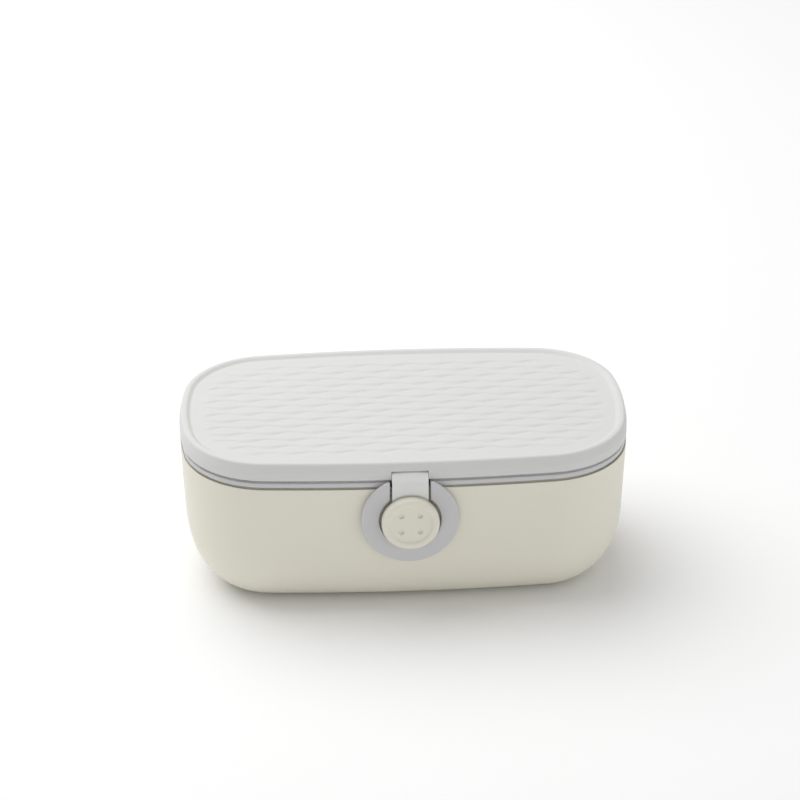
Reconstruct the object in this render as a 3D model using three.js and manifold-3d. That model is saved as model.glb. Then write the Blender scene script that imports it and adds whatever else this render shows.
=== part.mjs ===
// A small sewing box: a tub with rounded ends, a hinged lid, a strap clasp that carries a big
// four-hole button, and two lift-out trays, one above the other.
// Millimetres, +Z up. The origin is the centre of the tub's flat underside, and the front,
// with the clasp, faces -Y. The lid is closed and the clasp is down.
import * as THREE from "three";
import { mergeVertices } from "three/addons/utils/BufferGeometryUtils.js";
import Module from "manifold-3d";

const wasm = await Module();
wasm.setup();

// ---------- driving dimensions ----------

// Plan outline of the lid: bowed long sides, bowed ends, round corners
const boxLength = 155;
const boxDepth = 85;
const boxHeight = 60;
const cornerRadius = 29.7;
const sideBowRadius = 630;
const endBowRadius = 99;

// Tub
const tubTop = 50.35;
const tubWall = 2;
const tubDraft = 2; // how far the tub's sides lean in over their whole height
const tubRoundIn = 17.8; // the big round at the foot, measured inwards
const tubRoundUp = 25; // and upwards

// Grey rim frame between tub and lid
const bandHeight = 1.95; // the part that shows
const bandInset = 0.4;
const lidGroove = 0.75; // height of the shadow groove above the band
const tubGroove = 0.55; // and of the one below it
const shadowDepth = 1;
const frameWall = 1.4; // the skirt that hangs inside the tub
const ledgeWidth = 2.2; // the shelf that carries the upper tray
const ledgeThickness = 1.5;
const ledgeDrop = 5.4; // from the band's top down to the shelf

// Lid
const lidWall = 2;
const lidPlate = 2; // thickness of the top panel
const lidDraft = 0.5; // how far the skirt leans in towards the top
const lidEdgeRound = 1.6;
const rimCrown = 0.4; // flat width on top of the raised rim
const rimSlope = 1.5; // width of the slope from the rim down to the panel
const panelDrop = 0.9;
const lipThickness = 1.2; // the locating lip inside the frame
const lipReach = 1.5; // how far the lip reaches below the band's top

// Hinges at the back
const hingeCount = 2;
const hingeSpacing = 68;
const hingeWidth = 18;
const hingeRadius = 2.5;
const hingeStandOff = 2; // from the lid's back face to the hinge axis
const frameKnuckleWidth = 8;
const hingePinRadius = 1;
const rootShort = 0.2; // how far a knuckle's root stops short of the barrel's underside

// Clasp
const claspCentreHeight = 38.8; // height of the button's centre
const escutcheonRadius = 16.6;
const escutcheonFace = 1.9; // how far the ring stands off the tub
const webReach = 9; // half width of the web that ties the ring to the band
const webStandOff = 0.8; // from the lid's front face, inside the ring's thickness
const strapWidth = 12.2;
const strapFace = 2.4;
const strapPlateFront = 1.9; // the thinner part behind the button
const strapPlateBack = 1;
const strapTail = 6.5; // how far the strap runs below the button's centre
const knuckleRadius = 2.1;
const shoulderRound = 1.6; // where the strap's sloping shoulder meets its face
const claspPinRadius = 0.75;
const claspPinHeight = 54.6;
const claspPinInset = 1.3; // from the lid's front face to the pin's axis
const claspPinGrip = 2.7; // length of pin held at each side
const cheekEnd = 1.1; // material past the pin's ends
const cheekSink = 0.5; // how far the cheeks run up into the lid's plate
const mouthRise = 0.5; // height of the passage behind the notch
const plateStart = 0.6; // below the knuckle, where the thin plate begins
const nibHeight = 0.7; // the nib on the strap's tail
const nibSlope = 0.3;
const catchHeight = 0.4; // the rib on the tub that the nib snaps under
const catchLength = 10;
const catchThickness = 0.8;
const catchRise = 2; // from the strap's tail up to the rib's top

// Button
const buttonRadius = 9.8;
const buttonStandOut = 3.3; // beyond the ring's face
const buttonRimRound = 1.1;
const dishRadius = 7.2;
const dishDepth = 0.6;
const dishShoulder = 0.15; // the first step down inside the rim
const buttonHoleRadius = 0.9;
const buttonHoleSpacing = 6.3;
const buttonHoleDepth = 0.9;
const buttonStemRadius = 2.3;
const buttonHubRadius = 6;

// Trays
const trayWall = 1.4;
const flangeThickness = 1.4;
const upperTrayBottom = 27.8;
const upperTrayDraft = 0.7;
const upperTrayFoot = 2.5; // round at the tray's foot
const upperRowSplit = 1.5; // the wall between the front row and the back row, from the middle
const frontCellSplit = 26; // the wall across the front row, from the middle
const backCellCount = 4;
const cellCornerRadius = 3;
const lowerTrayTop = 25.4;
const lowerCellCount = 3;
const fingerNotchRadius = 9;
const fingerNotchDepth = 6;

// Clearances
const seatGap = 0.05; // between a piece and what it rests on
const slideGap = 0.3; // beside a tray, lip or skirt that drops in
const skirtGap = 0.4; // between the frame's skirt and the tub
const nestGap = 0.6; // round the lower tray
const strapGap = 0.75; // each side of the strap, in the ring's slot
const notchGap = 0.25; // each side of the strap, in the lid's notch
const swingGap = 0.3; // round a knuckle that turns
const boreGap = 0.12; // round a pin
const facingGap = 0.3; // between the ring and the tub, and between the clasp's catch and nib
const buttonGap = 0.8; // round the button, in the strap's pocket
const ringGap = 0.7; // between the button and the ring

const edgeBreak = 0.3; // small chamfer on moulded edges
const through = 20; // longer than any wall that is cut through
const roundMiddle = 1 - Math.SQRT1_2; // where the middle of a quarter round lies
const coarseSides = 24; // facets of pins and bores
const fineSides = 40; // and of larger rounds

// ---------- places that follow from them ----------

const bandBottom = tubTop + tubGroove;
const bandTop = bandBottom + bandHeight;
const lidBottom = bandTop + lidGroove;
const frontFace = -boxDepth / 2;
const backFace = boxDepth / 2;
const skirtInset = tubWall + skirtGap;
const frameInner = skirtInset + frameWall;
const ledgeTop = bandTop - ledgeDrop;
const ledgeInner = frameInner + ledgeWidth;
const panelTop = boxHeight - panelDrop;
const lidCeiling = panelTop - lidPlate;
const lipOuter = frameInner + slideGap;
const lipInner = lipOuter + lipThickness;
const hingeY = backFace + hingeStandOff;
const hingeZ = (bandTop + lidBottom) / 2;
const lean = Math.atan2(tubDraft, tubTop);
const claspPinY = frontFace + claspPinInset;
const swingRadius = knuckleRadius + swingGap;
const slotWidth = strapWidth + 2 * strapGap;
const claspPinLength = strapWidth + 2 * notchGap + 2 * claspPinGrip;
const holeRadius = buttonRadius + ringGap;
const upperTrayTop = ledgeTop + seatGap + flangeThickness;
const upperTrayInset = ledgeInner + slideGap;

// ---------- materials ----------

function plastic(color) {
  return new THREE.MeshStandardMaterial({ color, roughness: 0.5, metalness: 0 });
}
const creamPlastic = plastic(0xcdcabe);
const palePlastic = plastic(0xdededc);
const greyPlastic = plastic(0xb2b4b7);
const trayPlastic = plastic(0xc9cac9);
const steel = new THREE.MeshStandardMaterial({ color: 0xb8babd, roughness: 0.3, metalness: 1 });

// ---------- solids ----------

function solid(geometry) {
  const bare = geometry.clone();
  bare.deleteAttribute("normal");
  bare.deleteAttribute("uv");
  const merged = mergeVertices(bare, 1e-4);
  return new wasm.Manifold(
    new wasm.Mesh({
      numProp: 3,
      vertProperties: new Float32Array(merged.attributes.position.array),
      triVerts: new Uint32Array(merged.index.array),
    }),
  );
}

function meshOf(name, made, material) {
  let geometry = made;
  if (!made.isBufferGeometry) {
    const { vertProperties, triVerts } = made.getMesh();
    geometry = new THREE.BufferGeometry();
    geometry.setAttribute("position", new THREE.BufferAttribute(vertProperties, 3));
    geometry.setIndex(new THREE.BufferAttribute(triVerts, 1));
    geometry.computeVertexNormals();
  }
  const mesh = new THREE.Mesh(geometry, material);
  mesh.name = name;
  return mesh;
}

// A block between two corners.
function block([x0, y0, z0], [x1, y1, z1]) {
  const box = new THREE.BoxGeometry(x1 - x0, y1 - y0, z1 - z0);
  return solid(box.translate((x0 + x1) / 2, (y0 + y1) / 2, (z0 + z1) / 2));
}

// A round bar along X, between x0 and x1, about the axis at (y, z).
function barAlongX(radius, x0, x1, y, z, sides = coarseSides) {
  const bar = new THREE.CylinderGeometry(radius, radius, x1 - x0, sides);
  return solid(bar.rotateZ(Math.PI / 2).translate((x0 + x1) / 2, y, z));
}

function joined(...solids) {
  return solids.reduce((whole, one) => whole.add(one));
}

// ---------- the plan outline and shapes lofted from it ----------

// The corner arc's centre: it touches the long side's arc and the end's arc from inside.
function findCornerCentre() {
  const side = new THREE.Vector2(0, boxDepth / 2 - sideBowRadius);
  const end = new THREE.Vector2(boxLength / 2 - endBowRadius, 0);
  const fromSide = sideBowRadius - cornerRadius;
  const fromEnd = endBowRadius - cornerRadius;
  const apart = side.distanceTo(end);
  const along = (fromSide ** 2 - fromEnd ** 2 + apart ** 2) / (2 * apart);
  const across = Math.sqrt(fromSide ** 2 - along ** 2);
  const way = end.clone().sub(side).normalize();
  const aside = new THREE.Vector2(way.y, -way.x);
  return side.clone().addScaledVector(way, along).addScaledVector(aside, across);
}
const cornerCentre = findCornerCentre();
const sideCentreY = boxDepth / 2 - sideBowRadius;
const endCentreX = boxLength / 2 - endBowRadius;
const sideAngle = Math.atan2(cornerCentre.y - sideCentreY, cornerCentre.x);
const endAngle = Math.atan2(cornerCentre.y, cornerCentre.x - endCentreX);
const sideSteps = 6;
const endSteps = 4;
const cornerSteps = 7;

// The outline moved inwards by inset, as points that run anticlockwise from the +X end.
function planPoints(inset) {
  const quarter = [];
  const arc = (x, y, radius, from, to, steps) => {
    const curve = new THREE.ArcCurve(x, y, radius - inset, from, to, false);
    quarter.push(...curve.getPoints(steps).slice(quarter.length ? 1 : 0));
  };
  arc(endCentreX, 0, endBowRadius, 0, endAngle, endSteps / 2);
  arc(cornerCentre.x, cornerCentre.y, cornerRadius, endAngle, sideAngle, cornerSteps);
  arc(0, sideCentreY, sideBowRadius, sideAngle, Math.PI / 2, sideSteps / 2);
  const mirrored = (points, sx, sy) => points.map((p) => new THREE.Vector2(p.x * sx, p.y * sy));
  const backwards = [...quarter].reverse();
  return [
    ...quarter,
    ...mirrored(backwards, -1, 1).slice(1),
    ...mirrored(quarter, -1, -1).slice(1),
    ...mirrored(backwards, 1, -1).slice(1, -1),
  ];
}

// Sweeps a profile of [inset, z] points round the plan outline. The profile runs up the outside
// and down the inside. It is closed on itself, or its two ends are closed with flat faces.
function planLoft(profile, closed = false) {
  const rings = profile.map(([inset, z]) => planPoints(inset).map((p) => [p.x, p.y, z]));
  const count = rings[0].length;
  const points = rings.flat(2);
  const faces = [];
  const bands = closed ? rings.length : rings.length - 1;
  for (let i = 0; i < bands; i++) {
    const low = i * count;
    const high = ((i + 1) % rings.length) * count;
    for (let j = 0; j < count; j++) {
      const next = (j + 1) % count;
      faces.push(low + j, low + next, high + next, low + j, high + next, high + j);
    }
  }
  if (!closed) {
    const last = (rings.length - 1) * count;
    const first = points.length / 3;
    points.push(0, 0, profile[0][1], 0, 0, profile.at(-1)[1]);
    for (let j = 0; j < count; j++) {
      const next = (j + 1) % count;
      faces.push(first, next, j, first + 1, last + j, last + next);
    }
  }
  const geometry = new THREE.BufferGeometry();
  geometry.setAttribute("position", new THREE.Float32BufferAttribute(points, 3));
  geometry.setIndex(faces);
  return solid(geometry);
}

// The tub's side at a height, and the same side moved inwards by offset, as profile points
// that run from the foot up to topZ.
function sideInset(z) {
  return (tubDraft * (tubTop - z)) / tubTop;
}
function tubSide(offset, topZ, steps = 7) {
  const up = tubRoundUp - offset;
  const inwards = tubRoundIn - offset;
  const points = [];
  for (let i = 0; i <= steps; i++) {
    const turn = (Math.PI / 2) * (1 - i / steps);
    const z = offset + up * (1 - Math.sin(turn));
    if (z < topZ) points.push([offset + sideInset(z) + inwards * (1 - Math.cos(turn)), z]);
  }
  points.push([offset + sideInset(topZ), topZ]);
  return points;
}

// ---------- the clasp's own frame ----------

// Its origin is the button's centre on the tub's face. X is along the box, Y runs up the
// leaning face and Z stands out from it.
const clasp = new THREE.Group();
clasp.position.set(0, frontFace + sideInset(claspCentreHeight), claspCentreHeight);
clasp.rotation.x = Math.PI / 2 + lean;
clasp.updateMatrixWorld(true);
const claspPin = clasp.worldToLocal(new THREE.Vector3(0, claspPinY, claspPinHeight));
const lidBottomInClasp = (lidBottom - claspCentreHeight) / Math.cos(lean);

// A solid drawn in the clasp's frame, moved to where it stands on the box.
function placed(made) {
  return made.transform(clasp.matrixWorld.elements);
}

// ---------- pieces ----------

function tubShell() {
  const outside = tubSide(0, tubTop - edgeBreak);
  const inside = tubSide(tubWall, tubTop - edgeBreak).reverse();
  const rim = [
    [edgeBreak, tubTop],
    [tubWall - edgeBreak, tubTop],
  ];
  const half = catchLength / 2;
  const catchTop = catchRise - strapTail;
  const catchFoot = catchTop - catchThickness;
  const rib = block([-half, catchFoot, -tubWall / 2], [half, catchTop, catchHeight]);
  return planLoft([...outside, ...rim, ...inside]).add(placed(rib));
}

// The ring round the button, with its slot for the strap. It ends just under the lid.
function escutcheon() {
  const bevel = 0.4;
  const depth = escutcheonFace - facingGap;
  const top = lidBottomInClasp - edgeBreak;
  const reach = Math.acos(top / escutcheonRadius);
  const disc = new THREE.Shape();
  disc.absarc(0, 0, escutcheonRadius, Math.PI / 2 + reach, Math.PI * 2.5 - reach, false);
  disc.closePath();
  const hole = new THREE.Path().absarc(0, 0, holeRadius, 0, Math.PI * 2, true);
  disc.holes.push(hole);
  const ring = new THREE.ExtrudeGeometry(disc, {
    depth: depth - 2 * bevel,
    curveSegments: 22,
    bevelSize: bevel,
    bevelOffset: -bevel,
    bevelThickness: bevel,
    bevelSegments: 2,
  });
  const slot = block([-slotWidth / 2, 0, 0], [slotWidth / 2, through, through]);
  return placed(solid(ring.translate(0, 0, facingGap + bevel)).subtract(slot));
}

// Runs make(x0, x1) for each stretch of each hinge that belongs to the frame or to the lid.
function hingeStretches(ofFrame, grow, make) {
  const made = [];
  for (let i = 0; i < hingeCount; i++) {
    const x = hingeSpacing * (i - (hingeCount - 1) / 2);
    const inner = frameKnuckleWidth / 2;
    const outer = hingeWidth / 2;
    if (ofFrame) made.push(make(x - inner - grow, x + inner + grow));
    else {
      made.push(make(x - outer - grow, x - inner - swingGap + grow));
      made.push(make(x + inner + swingGap - grow, x + outer + grow));
    }
  }
  return joined(...made);
}

function hingeKnuckles(ofFrame, rootY, lowZ, highZ) {
  return hingeStretches(ofFrame, 0, (x0, x1) =>
    joined(
      barAlongX(hingeRadius, x0, x1, hingeY, hingeZ),
      block([x0, rootY, lowZ], [x1, hingeY, highZ]),
    ),
  );
}

function hingeRoom(ofFrame) {
  return hingeStretches(ofFrame, swingGap, (x0, x1) =>
    barAlongX(hingeRadius + swingGap, x0, x1, hingeY, hingeZ),
  );
}

function hingeBores() {
  const far = boxLength / 2;
  return barAlongX(hingePinRadius + boreGap, -far, far, hingeY, hingeZ);
}

function rimFrame() {
  const profile = [
    [bandInset + shadowDepth, bandBottom],
    [bandInset + edgeBreak, bandBottom],
    [bandInset, bandBottom + edgeBreak],
    [bandInset, bandTop - edgeBreak],
    [bandInset + edgeBreak, bandTop],
    [frameInner - edgeBreak, bandTop],
    [frameInner, bandTop - edgeBreak],
    [frameInner, ledgeTop],
    [ledgeInner, ledgeTop],
    [ledgeInner, ledgeTop - ledgeThickness],
    [skirtInset, ledgeTop - ledgeThickness],
    [skirtInset, tubTop + seatGap],
    [bandInset + shadowDepth, tubTop + seatGap],
  ];
  const backOfWeb = frontFace + bandInset + shadowDepth;
  const web = block(
    [-webReach, frontFace - webStandOff, bandBottom],
    [webReach, backOfWeb, bandTop - edgeBreak],
  );
  const half = slotWidth / 2;
  const strapRoom = block(
    [-half, frontFace - through, tubTop + seatGap],
    [half, claspPinY + swingRadius, boxHeight],
  );
  const knuckleRoot = backFace - frameInner + edgeBreak;
  const knuckleFoot = hingeZ - hingeRadius + rootShort;
  return planLoft(profile, true)
    .add(web)
    .add(escutcheon())
    .subtract(strapRoom)
    .subtract(hingeRoom(false))
    .add(hingeKnuckles(true, knuckleRoot, knuckleFoot, bandTop - edgeBreak))
    .subtract(hingeBores());
}

// The notch in the lid's front where the strap's knuckle turns.
function claspNotch() {
  const half = strapWidth / 2 + notchGap;
  const top = claspPinHeight + swingRadius;
  const roomBehind = frontFace + lipInner + slideGap;
  return joined(
    block([-half, frontFace - through, 0], [half, claspPinY, top]),
    barAlongX(swingRadius, -half, half, claspPinY, claspPinHeight, fineSides),
    block([-half, claspPinY, 0], [half, roomBehind, lidBottom + mouthRise]),
  );
}

function lidShell() {
  const rimInner = lidDraft + lidEdgeRound + rimCrown;
  const outside = [
    [edgeBreak, lidBottom],
    [0, lidBottom + edgeBreak],
  ];
  const roundSteps = 4;
  for (let i = 0; i <= roundSteps; i++) {
    const turn = ((Math.PI / 2) * i) / roundSteps;
    const inset = lidDraft + lidEdgeRound * (1 - Math.cos(turn));
    outside.push([inset, boxHeight - lidEdgeRound * (1 - Math.sin(turn))]);
  }
  const profile = [
    [lipInner, lidCeiling],
    [lipInner, bandTop - lipReach],
    [lipOuter, bandTop - lipReach],
    [lipOuter, lidCeiling],
    [lidWall, lidCeiling],
    [lidWall, bandTop + seatGap],
    [bandInset + shadowDepth, bandTop + seatGap],
    [bandInset + shadowDepth, lidBottom],
    ...outside,
    [rimInner, boxHeight],
    [rimInner + rimSlope / 2, boxHeight - panelDrop / 2],
    [rimInner + rimSlope, panelTop],
  ];
  const pinReach = claspPinLength / 2 + edgeBreak;
  const cheekOuter = pinReach + cheekEnd;
  const cheeks = block(
    [-cheekOuter, frontFace + edgeBreak, lidBottom],
    [cheekOuter, frontFace + lipOuter + edgeBreak, lidCeiling + cheekSink],
  );
  const knuckleRoot = backFace - lidWall;
  return planLoft(profile)
    .add(cheeks)
    .subtract(claspNotch())
    .subtract(barAlongX(claspPinRadius + boreGap, -pinReach, pinReach, claspPinY, claspPinHeight))
    .subtract(hingeRoom(true))
    .add(hingeKnuckles(false, knuckleRoot, lidBottom, hingeZ + hingeRadius))
    .subtract(hingeBores());
}

// The strap's side view, drawn with -Z of the clasp's frame along the shape's X.
function claspStrapSide() {
  const side = new THREE.Shape();
  const slopeTopX = -claspPin.z - knuckleRadius * Math.SQRT1_2;
  const slopeTopY = claspPin.y + knuckleRadius * Math.SQRT1_2;
  const slopeFootY = slopeTopY - (slopeTopX + strapFace);
  const inwards = shoulderRound * Math.SQRT1_2;
  side.moveTo(-strapFace, -strapTail);
  side.lineTo(-strapFace, slopeFootY - shoulderRound);
  side.quadraticCurveTo(-strapFace, slopeFootY, inwards - strapFace, slopeFootY + inwards);
  side.absarc(-claspPin.z, claspPin.y, knuckleRadius, 0.75 * Math.PI, -0.5 * Math.PI, true);
  side.lineTo(-strapPlateBack, claspPin.y - knuckleRadius - plateStart);
  side.lineTo(-strapPlateBack, nibHeight + nibSlope - strapTail);
  side.lineTo(-catchHeight - facingGap, nibHeight - strapTail);
  side.lineTo(-catchHeight - facingGap, -strapTail);
  return side;
}

function claspStrap() {
  const bevel = 0.35;
  const body = new THREE.ExtrudeGeometry(claspStrapSide(), {
    depth: strapWidth - 2 * bevel,
    curveSegments: 8,
    bevelSize: bevel,
    bevelOffset: -bevel,
    bevelThickness: bevel,
    bevelSegments: 2,
  });
  body.translate(0, 0, bevel - strapWidth / 2).rotateY(Math.PI / 2);
  const pocketRadius = buttonRadius + buttonGap;
  const pocket = new THREE.CylinderGeometry(pocketRadius, pocketRadius, through, fineSides);
  pocket.rotateX(Math.PI / 2).translate(0, 0, strapPlateFront + through / 2);
  const stemRoom = buttonStemRadius + slideGap;
  const stemHole = new THREE.CylinderGeometry(stemRoom, stemRoom, through, coarseSides);
  return solid(body)
    .subtract(solid(pocket))
    .subtract(solid(stemHole.rotateX(Math.PI / 2)))
    .subtract(
      barAlongX(claspPinRadius + boreGap, -strapWidth, strapWidth, claspPin.y, claspPin.z),
    );
}

function claspButton() {
  const front = escutcheonFace + buttonStandOut;
  const back = escutcheonFace + facingGap;
  const rimInner = buttonRadius - 2 * buttonRimRound;
  const outline = [
    new THREE.Vector2(0, strapPlateBack + seatGap),
    new THREE.Vector2(buttonStemRadius, strapPlateBack + seatGap),
    new THREE.Vector2(buttonStemRadius, strapPlateFront + seatGap),
    new THREE.Vector2(buttonHubRadius, strapPlateFront + seatGap),
    new THREE.Vector2(buttonHubRadius + edgeBreak, back),
    new THREE.Vector2(buttonRadius - edgeBreak, back),
    new THREE.Vector2(buttonRadius, back + edgeBreak),
  ];
  const roundSteps = 5;
  for (let i = 0; i <= roundSteps; i++) {
    const turn = (Math.PI / 2) * (i / roundSteps);
    outline.push(
      new THREE.Vector2(
        buttonRadius - buttonRimRound * (1 - Math.cos(turn)),
        front - buttonRimRound * (1 - Math.sin(turn)),
      ),
    );
  }
  outline.push(new THREE.Vector2(rimInner, front - dishShoulder));
  outline.push(new THREE.Vector2(Math.min(dishRadius, rimInner - edgeBreak), front - dishDepth));
  outline.push(new THREE.Vector2(0, front - dishDepth));
  let button = solid(new THREE.LatheGeometry(outline, fineSides).rotateX(Math.PI / 2));
  const apart = buttonHoleSpacing / 2;
  for (const x of [-apart, apart])
    for (const y of [-apart, apart]) {
      const depth = 2 * buttonHoleDepth;
      const drill = new THREE.CylinderGeometry(buttonHoleRadius, buttonHoleRadius, depth, coarseSides);
      drill.rotateX(Math.PI / 2).translate(x, y, front - dishDepth);
      button = button.subtract(solid(drill));
    }
  return button;
}

// A rounded rectangle between two corners, extruded far enough to cut a tray's cell.
function cellCutter(x0, x1, y0, y1, bottom) {
  const r = cellCornerRadius;
  const cell = new THREE.Shape();
  cell.moveTo(x0 + r, y0);
  cell.absarc(x1 - r, y0 + r, r, -Math.PI / 2, 0, false);
  cell.absarc(x1 - r, y1 - r, r, 0, Math.PI / 2, false);
  cell.absarc(x0 + r, y1 - r, r, Math.PI / 2, Math.PI, false);
  cell.absarc(x0 + r, y0 + r, r, Math.PI, 1.5 * Math.PI, false);
  const cutter = new THREE.ExtrudeGeometry(cell, {
    depth: boxHeight,
    curveSegments: 3,
    bevelEnabled: false,
  });
  return solid(cutter.translate(0, 0, bottom));
}

// Evenly spaced cells across the box, with a wall between neighbours.
function cellRow(count, fromX, toX, y0, y1, bottom) {
  const pitch = (toX - fromX + trayWall) / count;
  const cells = [];
  for (let i = 0; i < count; i++) {
    const x0 = fromX + i * pitch;
    cells.push(cellCutter(x0, x0 + pitch - trayWall, y0, y1, bottom));
  }
  return joined(...cells);
}

// Half-round dips in a tray's two ends, to lift it by.
function fingerNotches(top) {
  const far = boxLength / 2;
  const centreZ = top + fingerNotchRadius - fingerNotchDepth;
  const bar = (x0, x1) => barAlongX(fingerNotchRadius, x0, x1, 0, centreZ, fineSides);
  const inner = boxLength / 2 - upperTrayInset - trayWall - tubRoundIn / 2;
  return joined(bar(-far, -inner), bar(inner, far));
}

function upperTray() {
  const foot = upperTrayFoot;
  const low = upperTrayInset + upperTrayDraft;
  const flangeOuter = frameInner + slideGap;
  const outside = [
    [low + foot, upperTrayBottom],
    [low + foot * roundMiddle, upperTrayBottom + foot * roundMiddle],
    [low, upperTrayBottom + foot],
    [upperTrayInset, ledgeTop + seatGap],
    [flangeOuter, ledgeTop + seatGap],
    [flangeOuter, upperTrayTop - edgeBreak],
    [flangeOuter + edgeBreak, upperTrayTop],
  ];
  const floor = upperTrayBottom + trayWall;
  const inside = [
    [low + foot + trayWall, floor],
    [low + foot * roundMiddle + trayWall, floor + foot * roundMiddle],
    [low + trayWall, floor + foot],
    [upperTrayInset + trayWall, upperTrayTop],
    [upperTrayInset + trayWall, boxHeight],
  ];
  const reach = boxLength;
  const split = upperRowSplit;
  const endCell = boxLength / 2 - upperTrayInset - trayWall;
  const cells = joined(
    cellRow(backCellCount, -endCell, endCell, split + trayWall / 2, reach, floor),
    cellCutter(-reach, frontCellSplit - trayWall / 2, -reach, split - trayWall / 2, floor),
    cellCutter(frontCellSplit + trayWall / 2, reach, -reach, split - trayWall / 2, floor),
  );
  return planLoft(outside)
    .subtract(planLoft(inside).intersect(cells))
    .subtract(fingerNotches(upperTrayTop));
}

function lowerTray() {
  const drop = nestGap - seatGap;
  const lowered = ([inset, z]) => [inset, z - drop];
  const outside = tubSide(tubWall + nestGap, lowerTrayTop + drop).map(lowered);
  const inside = tubSide(tubWall + nestGap + trayWall, lowerTrayTop + drop).map(lowered);
  inside.push([inside.at(-1)[0], boxHeight]);
  const endCell = boxLength / 2 - tubWall - nestGap - trayWall - sideInset(lowerTrayTop);
  const cells = cellRow(lowerCellCount, -endCell, endCell, -boxDepth, boxDepth, 0);
  return planLoft(outside)
    .subtract(planLoft(inside).intersect(cells))
    .subtract(fingerNotches(lowerTrayTop));
}

function pin(name, radius, length) {
  const bar = new THREE.CylinderGeometry(radius, radius, length, coarseSides);
  return meshOf(name, bar.rotateZ(Math.PI / 2), steel);
}

// ---------- assembly ----------

const box = new THREE.Group();
box.add(
  meshOf("body_shell", tubShell(), creamPlastic),
  meshOf("rim_frame", rimFrame(), greyPlastic),
  meshOf("lid_shell", lidShell(), palePlastic),
  meshOf("upper_tray", upperTray(), trayPlastic),
  meshOf("lower_tray", lowerTray(), trayPlastic),
);
for (const [name, side] of [
  ["hinge_pin_left", -1],
  ["hinge_pin_right", 1],
]) {
  const hingePin = pin(name, hingePinRadius, hingeWidth - 2 * edgeBreak);
  hingePin.position.set((side * hingeSpacing) / 2, hingeY, hingeZ);
  box.add(hingePin);
}
const strapPin = pin("clasp_pin", claspPinRadius, claspPinLength);
strapPin.position.set(0, claspPinY, claspPinHeight);
box.add(strapPin);

clasp.add(
  meshOf("clasp_strap", claspStrap(), palePlastic),
  meshOf("clasp_button", claspButton(), creamPlastic),
);
box.add(clasp);

export default box;
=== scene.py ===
import bmesh
import bpy
import math
from mathutils import Matrix, Vector
from mathutils.geometry import delaunay_2d_cdt


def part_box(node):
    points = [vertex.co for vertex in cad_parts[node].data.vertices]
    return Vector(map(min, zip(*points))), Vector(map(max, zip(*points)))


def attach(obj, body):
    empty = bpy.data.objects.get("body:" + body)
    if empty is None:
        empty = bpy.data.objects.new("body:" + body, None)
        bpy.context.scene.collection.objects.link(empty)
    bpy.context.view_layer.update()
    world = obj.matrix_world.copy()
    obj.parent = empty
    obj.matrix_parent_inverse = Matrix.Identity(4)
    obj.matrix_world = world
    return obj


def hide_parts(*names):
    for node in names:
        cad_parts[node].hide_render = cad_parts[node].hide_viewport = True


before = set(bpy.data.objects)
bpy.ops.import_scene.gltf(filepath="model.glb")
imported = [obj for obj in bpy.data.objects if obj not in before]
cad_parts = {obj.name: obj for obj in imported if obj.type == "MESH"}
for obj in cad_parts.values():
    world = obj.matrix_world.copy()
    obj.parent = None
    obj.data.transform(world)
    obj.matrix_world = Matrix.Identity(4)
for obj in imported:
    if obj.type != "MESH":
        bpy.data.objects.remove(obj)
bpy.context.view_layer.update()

# Rounded plastic sewing box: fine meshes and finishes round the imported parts.
# Sizes below are millimetres, and meshes are scaled to metres as they are made.
mm = 0.001
print("frame loaded:", len(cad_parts), "parts")


def boxOf(node):
    low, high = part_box(node)
    return low / mm, high / mm


lidLow, lidHigh = boxOf("lid_shell")
hingeLow, hingeHigh = boxOf("hinge_pin_right")
claspPinLow, claspPinHigh = boxOf("clasp_pin")
upperLow, upperHigh = boxOf("upper_tray")
lowerTop = boxOf("lower_tray")[1].z
hingeAxis = (hingeLow + hingeHigh) / 2
claspAxis = (claspPinLow + claspPinHigh) / 2
skirtHeight = 6.3
lidTop = lidHigh.z
lidBottom = lidTop - skirtHeight
frontFace = lidLow.y
tubTop = boxOf("body_shell")[1].z

outline = {
    "halfLength": lidHigh.x,
    "halfDepth": -lidLow.y,
    "cornerRadius": 29.7,
    "sideBow": 630,
    "endBow": 99,
    "sideSteps": 12,
    "endSteps": 10,
    "cornerSteps": 22,
}
gaps = {"seat": 0.05, "slide": 0.3, "swing": 0.3, "bore": 0.12, "facing": 0.3}
claspBore = (claspPinHigh.z - claspPinLow.z) / 2 + gaps["bore"]
past = {"far": 20, "near": 10, "face": 3, "end": 1}  # how far a cutter runs past what it cuts
crisp = 0.1  # corner rounds that only take the sharpness off
fine = 0.3
cornerRule = {"straight": math.radians(177), "share": 0.48}  # flatter corners stay as they are
weld = {"double": 0.004 * mm, "sliver": 0.002 * mm}


# meshes

def arcPoints(centreX, centreY, radius, start, end, steps):
    points = []
    for i in range(steps + 1):
        turn = start + (end - start) * i / steps
        points.append((centreX + radius * math.cos(turn), centreY + radius * math.sin(turn)))
    return points


def cornerCentreOf(shape):
    # the corner arc touches the side's arc and the end's arc from inside
    side = Vector((0, shape["halfDepth"] - shape["sideBow"]))
    end = Vector((shape["halfLength"] - shape["endBow"], 0))
    fromSide = shape["sideBow"] - shape["cornerRadius"]
    fromEnd = shape["endBow"] - shape["cornerRadius"]
    apart = (end - side).length
    along = (fromSide ** 2 - fromEnd ** 2 + apart ** 2) / (2 * apart)
    across = math.sqrt(fromSide ** 2 - along ** 2)
    way = (end - side) / apart
    return side + way * along + Vector((way.y, -way.x)) * across


cornerCentre = cornerCentreOf(outline)
sideCentreY = outline["halfDepth"] - outline["sideBow"]
endCentreX = outline["halfLength"] - outline["endBow"]
sideAngle = math.atan2(cornerCentre.y - sideCentreY, cornerCentre.x)
endAngle = math.atan2(cornerCentre.y, cornerCentre.x - endCentreX)


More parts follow.
